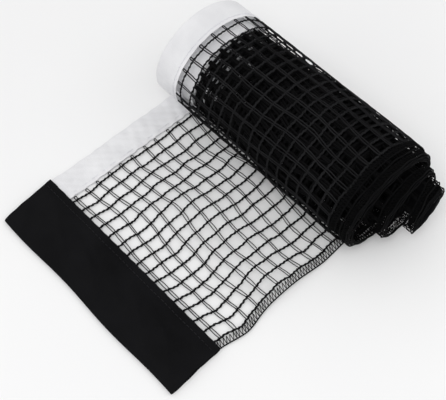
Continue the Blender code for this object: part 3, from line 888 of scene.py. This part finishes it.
def woven(tree, along, pitch_u, pitch_v):
    """Ribs of a plain weave, along and across, a pitch apart in the UV map's millimetres."""
    warp = wave(tree, scaled(tree, along, (1.0 / pitch_u, 1.0, 1.0)), ONE_WAVE_PER_UNIT, "X")
    weft = wave(tree, scaled(tree, along, (1.0, 1.0 / pitch_v, 1.0)), ONE_WAVE_PER_UNIT, "Y")
    return warp, weft


def tape_material():
    """Bleached woven tape with slubs and faint patches."""
    material, tree, shader = new_material("white_tape_cloth", roughness=0.75, specular=0.25)
    place, along = coordinates(tree)
    warp, weft = woven(tree, along, pitch_u=0.62, pitch_v=0.5)
    slubs = noise(tree, scaled(tree, along, (0.5, 2.2, 1.0)), scale=1.3, detail=3.0)
    cloth = weighted(tree, (warp, 0.55), (weft, 0.35))
    patches = noise(tree, place, scale=45.0, detail=3.0)
    tone = weighted(tree, (patches, 0.55), (cloth, 0.4))
    colour = ramp(tree, tone, dark=(0.66, 0.66, 0.68), light=(0.89, 0.89, 0.90))
    tree.links.new(colour, shader.inputs["Base Color"])
    bump(tree, weighted(tree, (cloth, 1.0), (slubs, 0.8)), shader, strength=0.45, distance=0.00016)
    return material


def sleeve_material():
    """Black plain-woven polyester with faint patches and lint."""
    material, tree, shader = new_material("black_sleeve_cloth", roughness=0.8, specular=0.09)
    place, along = coordinates(tree)
    warp, weft = woven(tree, along, pitch_u=0.42, pitch_v=0.42)
    cloth = weighted(tree, (warp, 0.5), (weft, 0.5))
    lint = noise(tree, place, scale=1500.0, detail=5.0)
    patches = noise(tree, place, scale=38.0, detail=4.0)
    tone = weighted(tree, (patches, 0.6), (lint, 0.25), (cloth, 0.15))
    colour = ramp(tree, tone, dark=(0.0016, 0.0016, 0.002), light=(0.0062, 0.0062, 0.0073),
                  light_stop=SLEEVE_LIGHT_STOP)
    tree.links.new(colour, shader.inputs["Base Color"])
    bump(tree, weighted(tree, (cloth, 1.0), (lint, 0.6)), shader, strength=0.4, distance=0.00014)
    return material


def floor_material():
    material, tree, shader = new_material("pale_floor", roughness=0.85, specular=0.1)
    place, _ = coordinates(tree)
    mottle = noise(tree, place, scale=6.0, detail=2.0)
    colour = ramp(tree, mottle, dark=(0.86, 0.86, 0.865), light=(0.88, 0.88, 0.88))
    tree.links.new(colour, shader.inputs["Base Color"])
    return material


CORD_YARN = yarn_material("black_knitted_cord", dark=(0.003, 0.003, 0.0035), light=(0.010, 0.010, 0.011),
                          roughness=0.75, twist_scale=1.1)
THREAD_YARN = yarn_material("black_fine_thread", dark=(0.004, 0.004, 0.0045), light=(0.012, 0.012, 0.013),
                            roughness=0.7, twist_scale=1.6)
# The same black cord yarn painted lighter: painted highlight for the outermost turn of the roll, which
# catches the light.
OUTER_YARN_PAINTED_LIGHTER = yarn_material("black_outer_cord_painted_lighter", dark=(0.006, 0.006, 0.0066), light=(0.020, 0.020, 0.0215),
                           roughness=0.75, twist_scale=1.1)
# The same black yarn painted darker: painted shade for the yarns inside the roll, which the turns over them
# shadow.
WOUND_YARN_PAINTED_SHADE = yarn_material("black_wound_yarn_painted_shade", dark=(0.0012, 0.0012, 0.0014), light=(0.0035, 0.0035, 0.004),
                           roughness=0.85, twist_scale=1.1)
BLACK_SEWING = yarn_material("black_sewing_thread", dark=(0.010, 0.010, 0.011), light=(0.03, 0.03, 0.033),
                             roughness=0.55, twist_scale=1.4)
WHITE_SEWING = yarn_material("white_sewing_thread", dark=(0.66, 0.66, 0.70), light=(0.84, 0.84, 0.88),
                             roughness=0.6, twist_scale=1.4)
TAPE_CLOTH_WHITE = tape_material()
SLEEVE_CLOTH_BLACK = sleeve_material()


# ---------------------------------------------------------------- pieces of the flat end

def across_roll_joint(thing):
    """Bakes a piece's transform into its mesh; the piece lies between the roll, which lies still, and the
    free end that lifts.
    """
    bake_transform(thing)


def across_sleeve_joint(thing):
    """Bakes a piece's transform into its mesh; the piece lies between the free end and the sleeve that folds
    over it.
    """
    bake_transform(thing)


def build_flat_end():
    """The netting that lies flat, with its border and its tape, from the sleeve's seam to the roll."""
    netting = piece("free_end_netting", [knitted_chains(SEAM_END_S, ROLL_START_S, *FLAT_CHAINS),
                                         cross_pairs(SEAM_END_S, ROLL_START_S, *FLAT_PAIRS)],
                    CORD_YARN)
    band = piece("free_end_border_band", [border_band(SEAM_END_S, ROLL_START_S, *FLAT_BAND)],
                 THREAD_YARN)
    selvage = piece("free_end_selvage_cord", [selvage_cord(SEAM_END_S, ROLL_START_S, *FLAT_SELVAGE)],
                    CORD_YARN)
    tape_piece = piece("free_end_tape", [tape(SEAM_END_S, ROLL_START_S, *FLAT_TAPE, FREE_RELIEF)],
                       TAPE_CLOTH_WHITE, TAPE_SHARP_DEGREES)
    starts = np.arange(SEAM_END_S - SEAM_STITCH_INSET, ROLL_START_S - STITCH_PITCH, STITCH_PITCH)
    seam_rows = [stitches(starts, TAPE_STITCH_T, FLAT_STITCH_LIFT, side) for side in (1, -1)]
    sewing = piece("free_end_tape_stitches", seam_rows, WHITE_SEWING)
    for thing in (netting, band, selvage, tape_piece, sewing):
        across_roll_joint(thing)
    cords = [f"chain_cord_{number + 1:02d}" for number in range(CHAIN_CORDS)]
    pairs = [f"cross_thread_pair_{number:02d}" for number in range(2, 11)]
    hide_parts(*cords, *pairs)
    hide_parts("border_band")
    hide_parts("selvage_cord")
    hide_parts("top_tape")
    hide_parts("tape_stitching")


def build_seam():
    """The net's end, from where it lies free to where the sleeve's lips hold it."""
    netting = piece("netting_in_sleeve_seam", [
        knitted_chains(SEAM_START_S, SEAM_END_S, *FLAT_CHAINS),
        cross_pairs(SEAM_START_S, SEAM_END_S, *FLAT_PAIRS),
        border_band(SEAM_START_S + SEAM_BAND_INSET, SEAM_END_S, *FLAT_BAND),
        selvage_cord(SEAM_START_S, SEAM_END_S, *FLAT_SELVAGE)], CORD_YARN)
    tape_piece = piece("tape_in_sleeve_seam", [tape(SEAM_START_S, SEAM_END_S, *FLAT_TAPE, FREE_RELIEF)],
                       TAPE_CLOTH_WHITE, TAPE_SHARP_DEGREES)
    across_sleeve_joint(netting)
    across_sleeve_joint(tape_piece)
    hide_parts("netting_end_in_sleeve", "cross_thread_pair_01")


def build_sleeve():
    cloth = piece("post_sleeve_cloth", [sleeve_cloth(*SLEEVE_MESH)], SLEEVE_CLOTH_BLACK,
                  SLEEVE_SHARP_DEGREES)
    sewing = piece("post_sleeve_stitches", [sleeve_stitches()], BLACK_SEWING)
    for thing in (cloth, sewing):
        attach(thing, "end_sleeve")
    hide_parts("post_sleeve")
    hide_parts("sleeve_stitching")


# ---------------------------------------------------------------- pieces of the roll

def build_turns(name, first, last, knitted):
    """One stretch of the wound net.  The outermost is knitted strand by strand, those inside more plainly."""
    # The outermost turn's netting gets the yarn painted lighter as painted highlight; the netting inside it
    # gets the yarn painted darker as painted shade.
    yarn = OUTER_YARN_PAINTED_LIGHTER if knitted else WOUND_YARN_PAINTED_SHADE
    if knitted:
        netting_parts = [knitted_chains(first, last, *TURN_CHAINS),
                         cross_pairs(first, last, *TURN_PAIRS, WOUND_CROSS_RADIUS)]
        band_parts = [border_band(first, last, *TURN_BAND)]
        selvage_parts = [selvage_cord(first, last, *TURN_SELVAGE)]
        tape_parts = [tape(first, last, *TURN_TAPE, TURN_RELIEF)]
    else:
        netting_parts = [plain_chains(first, last, *BUNDLE_CHAINS),
                         cross_pairs(first, last, *BUNDLE_PAIRS, INNER_CROSS_RADIUS, PRESSED_HEIGHT)]
        band_parts = [border_band(first, last, *BUNDLE_BAND)]
        selvage_parts = [selvage_cord(first, last, *BUNDLE_SELVAGE, strands=1)]
        tape_parts = [tape(first, last, *BUNDLE_TAPE, BUNDLE_RELIEF)]
    netting = piece("rolled_netting_" + name, netting_parts, yarn)
    # Border band and selvage cord, the outermost turn's too, get the yarn painted darker as painted shade.
    band = piece("rolled_border_band_" + name, band_parts, WOUND_YARN_PAINTED_SHADE)
    selvage = piece("rolled_selvage_cord_" + name, selvage_parts, WOUND_YARN_PAINTED_SHADE)
    tape_piece = piece("rolled_tape_" + name, tape_parts, TAPE_CLOTH_WHITE, TAPE_SHARP_DEGREES)
    for thing in (netting, band, selvage, tape_piece):
        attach(thing, "rolled_net")
    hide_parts("netting_" + name)
    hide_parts("border_band_" + name)
    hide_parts("selvage_cord_" + name)
    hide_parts("top_tape_" + name)


def build_roll():
    """The outermost turn, the bundles inside it, its tape's stitches and the sleeve at the core."""
    first_turns = [first for _, first in BUNDLES]
    build_turns("outer_turn", ROLL_START_S, turn_length(first_turns[0]), True)
    ends = first_turns[1:] + [ROLLED_TURNS]
    for (name, first), last in zip(BUNDLES, ends):
        build_turns(name, turn_length(first), turn_length(last), False)
    starts = np.arange(ROLL_START_S, turn_length(first_turns[0]) - STITCH_PITCH, STITCH_PITCH)
    rows = [stitches(starts, TAPE_STITCH_T, WOUND_STITCH_LIFT, side) for side in (1, -1)]
    sewing = piece("rolled_tape_stitches", rows, WHITE_SEWING)
    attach(sewing, "rolled_net")
    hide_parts("tape_stitching_outer_turn")
    core = piece("core_sleeve_cloth", [core_cloth()], SLEEVE_CLOTH_BLACK,
                 SLEEVE_SHARP_DEGREES)
    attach(core, "rolled_net")
    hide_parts("core_sleeve")


# ---------------------------------------------------------------- floor, light and camera

# In metres, but for the camera's place in millimetres.  Lights: (name, location, size, power in watts).
FLOOR_SIZE = 6.0
WORLD_STRENGTH = 0.8
LIGHTS = (("key", (-0.5, -0.3, 1.1), 0.7, 4.5), ("fill", (0.7, -0.6, 0.8), 0.8, 1.0))
LIGHT_TARGET = (0.0, 0.0, 0.02)
CAMERA_TARGET = (67.95, 71.2, 0.0)
CAMERA_AZIMUTH = -43.0
CAMERA_ELEVATION = 57.6
CAMERA_DISTANCE = 602.0
CAMERA_LENS = 80.0


def build_stage():
    bpy.ops.mesh.primitive_plane_add(size=FLOOR_SIZE, location=(0.0, 0.0, 0.0))
    floor = bpy.context.object
    floor.name = "floor"
    floor.data.materials.append(floor_material())


def aim(thing, target):
    thing.rotation_euler = (Vector(target) - thing.location).to_track_quat("-Z", "Y").to_euler()


def area_light(name, location, size, power):
    light = bpy.data.lights.new(name, "AREA")
    light.shape = "DISK"
    light.size = size
    light.energy = power
    thing = bpy.data.objects.new(name, light)
    thing.location = location
    bpy.context.scene.collection.objects.link(thing)
    aim(thing, LIGHT_TARGET)


def build_light():
    world = bpy.data.worlds.new("studio")
    bpy.context.scene.world = world
    world.use_nodes = True
    background = world.node_tree.nodes["Background"]
    background.inputs["Color"].default_value = (1.0, 1.0, 1.0, 1.0)
    background.inputs["Strength"].default_value = WORLD_STRENGTH
    for row in LIGHTS:
        area_light(*row)
    bpy.context.scene.view_settings.view_transform = "Standard"


def build_camera():
    data = bpy.data.cameras.new("camera")
    data.lens = CAMERA_LENS
    camera = bpy.data.objects.new("camera", data)
    azimuth, elevation = math.radians(CAMERA_AZIMUTH), math.radians(CAMERA_ELEVATION)
    back = Vector((math.sin(azimuth) * math.cos(elevation), -math.cos(azimuth) * math.cos(elevation),
                   math.sin(elevation)))
    target = Vector(placed(CAMERA_TARGET))
    camera.location = target + back * CAMERA_DISTANCE * MILLIMETRE
    aim(camera, target)
    bpy.context.scene.collection.objects.link(camera)
    bpy.context.scene.camera = camera


build_stage()
build_light()
build_camera()
build_flat_end()
build_seam()
build_sleeve()
build_roll()
